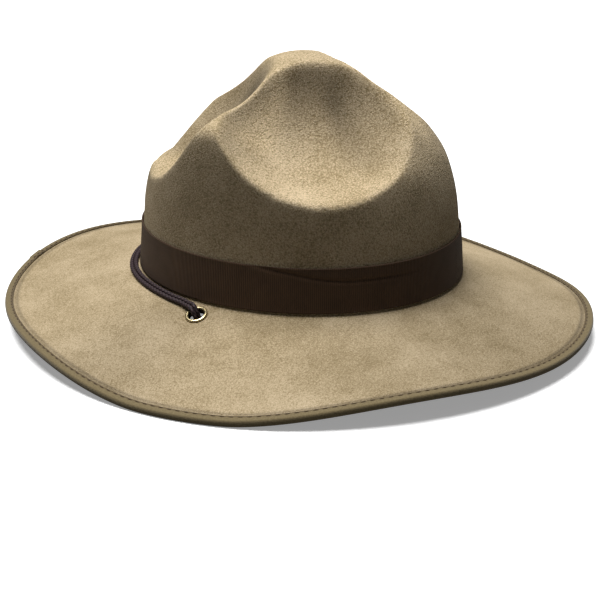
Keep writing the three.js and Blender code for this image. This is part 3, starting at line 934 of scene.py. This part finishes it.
def stitch_piece(material):
    """Stitches: short arcs of thread, each a tube whose ends dive into the strip."""
    angles, travelled = stitch_angles()
    steps, sides = 7, 6
    half_turn = STITCH_LENGTH / 2 / travelled[-1] * FULL_TURN
    s = np.linspace(-1, 1, steps)
    turn = np.linspace(0, FULL_TURN, sides, endpoint=False)
    all_points, all_faces = [], []
    outside = FELT_THICKNESS / 2 + BINDING_GAP + BINDING_THICKNESS
    inset = -(BINDING_WIDTH - BINDING_GAP - BINDING_THICKNESS) + STITCH_INSET
    cell = grid_faces(steps, sides)
    for face_side in (1, -1):
        at = angles[:, None] + half_turn * s[None, :]
        middle, outward, facing = edge_frames(at)
        rise = outside - STITCH_SINK - STITCH_DIVE * s ** 4
        rise = rise[None, :] + (lap_rise(at) if face_side > 0 else 0)
        line = middle + outward * inset + facing * face_side * rise[..., None]
        radius = STITCH_RADIUS * np.sqrt(np.clip(1 - (0.92 * s) ** 4, 0, 1))
        ring = (outward[:, :, None] * np.cos(turn)[None, None, :, None]
                + facing[:, :, None] * face_side * np.sin(turn)[None, None, :, None])
        points = line[:, :, None] + ring * radius[None, :, None, None]
        start = sum(len(p) for p in all_points)
        base = start + np.arange(len(angles))[:, None, None] * steps * sides
        order = cell if face_side > 0 else cell[:, ::-1]
        all_faces.append((base + order[None]).reshape(-1, 4))
        first = np.arange(sides)
        ends = np.stack([first[::-1], first + (steps - 1) * sides])
        ends = ends if face_side > 0 else ends[:, ::-1]
        all_faces.append((base + ends[None]).reshape(-1, sides))
        all_points.append(points.reshape(-1, 3))
    make_piece("stitches", np.concatenate(all_points), all_faces, material)


def eyelet_piece(name, side, material):
    """A turned profile: the barrel between a rolled flange above the felt and one below it."""
    columns = 64
    barrel = EYELET_HOLE + EYELET_WALL
    top = EYELET_SEAT_GAP
    bottom = -FELT_THICKNESS - EYELET_SEAT_GAP
    roll = EYELET_FLANGE_THICKNESS
    bend = np.linspace(0, np.pi, 15)
    ring_middle = (EYELET_FLANGE + EYELET_HOLE) / 2
    ring_half = (EYELET_FLANGE - EYELET_HOLE) / 2
    radius = np.concatenate([
        ring_middle - ring_half * np.cos(bend), [barrel, barrel],
        ring_middle + ring_half * np.cos(bend)])
    height = np.concatenate([
        top + roll * np.sin(bend), [top, bottom], bottom - roll * np.sin(bend)])
    angles = np.arange(columns) * FULL_TURN / columns
    ring = np.stack([radius[:, None] * np.cos(angles), radius[:, None] * np.sin(angles),
                     np.repeat(height[:, None], columns, 1)], -1)
    seat, facing = eyelet_seat(side)
    turn = np.array(Vector((0, 0, 1)).rotation_difference(Vector(facing)).to_matrix())
    points = ring.reshape(-1, 3) @ turn.T + seat
    piece = make_piece(name, points, [grid_faces(len(radius), columns, True)], material)
    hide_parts("eyelet_left" if side > 0 else "eyelet_right")


def closed_spline(points, t):
    """Closed centripetal Catmull-Rom curve at t from 0 to 1, and its direction."""
    count = len(points)
    at = t * count
    i = np.floor(at).astype(int)
    w = (at - i)[:, None]
    p0, p1, p2, p3 = (points[(i + k) % count] for k in (-1, 0, 1, 2))
    d0, d1, d2 = (np.maximum(np.linalg.norm(b - a, axis=1), 1e-9)[:, None] ** 0.5
                  for a, b in ((p0, p1), (p1, p2), (p2, p3)))
    start = ((p1 - p0) / d0 - (p2 - p0) / (d0 + d1) + (p2 - p1) / d1) * d1
    end = ((p2 - p1) / d1 - (p3 - p1) / (d1 + d2) + (p3 - p2) / d2) * d1
    square, cube = -3 * p1 + 3 * p2 - 2 * start - end, 2 * p1 - 2 * p2 + start + end
    place = p1 + start * w + square * w ** 2 + cube * w ** 3
    return place, unit(start + 2 * square * w + 3 * cube * w ** 2)


def cord_piece(material):
    """Two strands beside each other, each a tube whose radius follows a braid of plaits.

    They lie flat on the slope of the brim, and level once they are through the eyelets.
    With u = plaits * turn + length / plait length and v = plaits * turn - length / plait length,
    one family of plaits lies on top in the cells where floor(u) + floor(v) is even and the
    other where it is odd; the top plait is a round arch across its width.
    """
    there = np.array(CORD_ROUTE, float) * MM
    back = there[1:-1][::-1] * [-1, 1, 1]
    t = np.arange(CORD_ROWS) / CORD_ROWS
    fine_t = np.linspace(0, 1, 8001)
    fine, _ = closed_spline(np.concatenate([there, back]), fine_t)
    travelled = np.concatenate([[0], np.cumsum(np.linalg.norm(np.diff(fine, axis=0), axis=1))])
    length = travelled[-1]
    middle, ahead = closed_spline(np.concatenate([there, back]),
                                  np.interp(t * length, travelled, fine_t))
    outward = unit(middle * [1, 1, 0])
    over_level = middle[:, 2] - CROWN_BASE_HEIGHT + CORD_LEVEL_DROP
    outward[:, 2] = -CORD_SLOPE * ease(over_level / CORD_LEVEL_RUN)
    sideways = unit(outward - (outward * ahead).sum(1)[:, None] * ahead)
    above = -np.cross(sideways, ahead)
    turn = np.arange(STRAND_SIDES) * FULL_TURN / STRAND_SIDES
    cells = round(length / PLAIT_LENGTH / 2) * 2
    strand_radius = CORD_WIDTH / 4
    grids, faces, reliefs = [], [], []
    for strand, lean in ((-1, 0.0), (1, 0.5)):
        u = PLAITS * turn[None, :] / FULL_TURN + cells * t[:, None] + lean
        v = PLAITS * turn[None, :] / FULL_TURN - cells * t[:, None] + lean
        over = (np.floor(u) + np.floor(v)) % 2 == 0
        across = np.where(over, u % 1, v % 1)
        along = np.where(over, v % 1, u % 1)
        ends = PLAIT_END_RELIEF + (1 - PLAIT_END_RELIEF) * np.sin(np.pi * along)
        relief = np.sin(np.pi * across) ** 0.7 * ends
        radius = strand_radius * (1 - PLAIT_RELIEF + PLAIT_RELIEF * relief)
        height = CORD_HEIGHT / 2 / strand_radius
        grid = (middle[:, None] + sideways[:, None] * (
            strand * strand_radius * STRAND_SPREAD + radius * np.cos(turn))[..., None]
            + above[:, None] * (height * radius * np.sin(turn))[..., None])
        start = len(grids) * CORD_ROWS * STRAND_SIDES
        faces.append(grid_faces(CORD_ROWS, STRAND_SIDES, True, True, start)[:, ::-1])
        grids.append(grid.reshape(-1, 3))
        reliefs.append(relief.ravel())
    piece = make_piece("cord", np.concatenate(grids), faces, material,
                       values={"relief": np.concatenate(reliefs)})
    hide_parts("chin_cord")


# Floor, light and camera

def make_floor():
    """A plain white floor: the camera sees a faint glow in it, and it throws back little light."""
    mesh = bpy.data.meshes.new("floor")
    half = 6.0
    mesh.from_pydata([(-half, -half, 0), (half, -half, 0), (half, half, 0), (-half, half, 0)],
                     [], [(0, 1, 2, 3)])
    floor = bpy.data.objects.new("floor", mesh)
    bpy.context.collection.objects.link(floor)
    material, tree, shader = new_material("pale_floor", FLOOR_SEEN, 0.9, specular=0.0)
    path = tree.nodes.new("ShaderNodeLightPath").outputs["Is Camera Ray"]
    tree.links.new(mix_colour(tree, path, FLOOR_THROWN, FLOOR_SEEN), shader.inputs["Base Color"])
    tree.links.new(mix_colour(tree, path, (0, 0, 0), FLOOR_GLOW), shader.inputs["Emission Color"])
    shader.inputs["Emission Strength"].default_value = 1
    mesh.materials.append(material)


def make_light():
    """A broad soft light from above and a little behind the hat, and a dim even surround."""
    lamp = bpy.data.lights.new("key", "SUN")
    lamp.energy = LAMP_POWER
    lamp.angle = LAMP_SPREAD
    key = bpy.data.objects.new("key", lamp)
    bpy.context.collection.objects.link(key)
    key.rotation_euler = Vector(LAMP_DIRECTION).to_track_quat("Z", "Y").to_euler()
    world = bpy.data.worlds.new("surround")
    bpy.context.scene.world = world
    world.use_nodes = True
    world.node_tree.nodes["Background"].inputs["Color"].default_value = (1, 1, 1, 1)
    world.node_tree.nodes["Background"].inputs["Strength"].default_value = SURROUND


def make_camera():
    """A long lens at the photograph's angle, its place moved sideways and down for the framing."""
    turn, rise = CAMERA_TURN, CAMERA_RISE
    back = np.array([np.sin(turn) * np.cos(rise), -np.cos(turn) * np.cos(rise), np.sin(rise)])
    level = np.array([np.cos(turn), np.sin(turn), 0])
    upright = np.cross(back, level)
    right = level * np.cos(CAMERA_ROLL) + upright * np.sin(CAMERA_ROLL)
    up = -level * np.sin(CAMERA_ROLL) + upright * np.cos(CAMERA_ROLL)
    place = (CAMERA_TARGET + CAMERA_DISTANCE * back + CAMERA_OFFSET_RIGHT * right
             + CAMERA_OFFSET_UP * up)
    lens = bpy.data.cameras.new("camera")
    lens.lens = CAMERA_LENS
    lens.sensor_width = SENSOR_WIDTH
    lens.clip_end = 50
    camera = bpy.data.objects.new("camera", lens)
    bpy.context.collection.objects.link(camera)
    camera.matrix_world = Matrix((
        (right[0], up[0], back[0], place[0]), (right[1], up[1], back[1], place[1]),
        (right[2], up[2], back[2], place[2]), (0, 0, 0, 1)))
    bpy.context.scene.camera = camera


bpy.context.scene.view_settings.view_transform = "Standard"
make_camera()
make_floor()
make_light()
weave = weave_group()
felt_piece(felt_material(felt_nap_group()))
band_piece(ribbon_material(rib_group()))
binding_piece(cloth_material("tan_binding", weave, BINDING_DARK, BINDING_TAN, roughness=0.9,
                             thread_count=1400.0, uneven=1.4, depth=0.12 * MM, edge="edge"))
stitch_piece(cloth_material("brown_thread", weave, THREAD_DARK, THREAD_BROWN, roughness=0.7,
                            thread_count=2500.0, uneven=0.3, depth=0.05 * MM))
brass = brass_material()
for eyelet_name, eyelet_side in (("eyelet_ring_right", -1), ("eyelet_ring_left", 1)):
    eyelet_piece(eyelet_name, eyelet_side, brass)
cord_piece(cord_material())
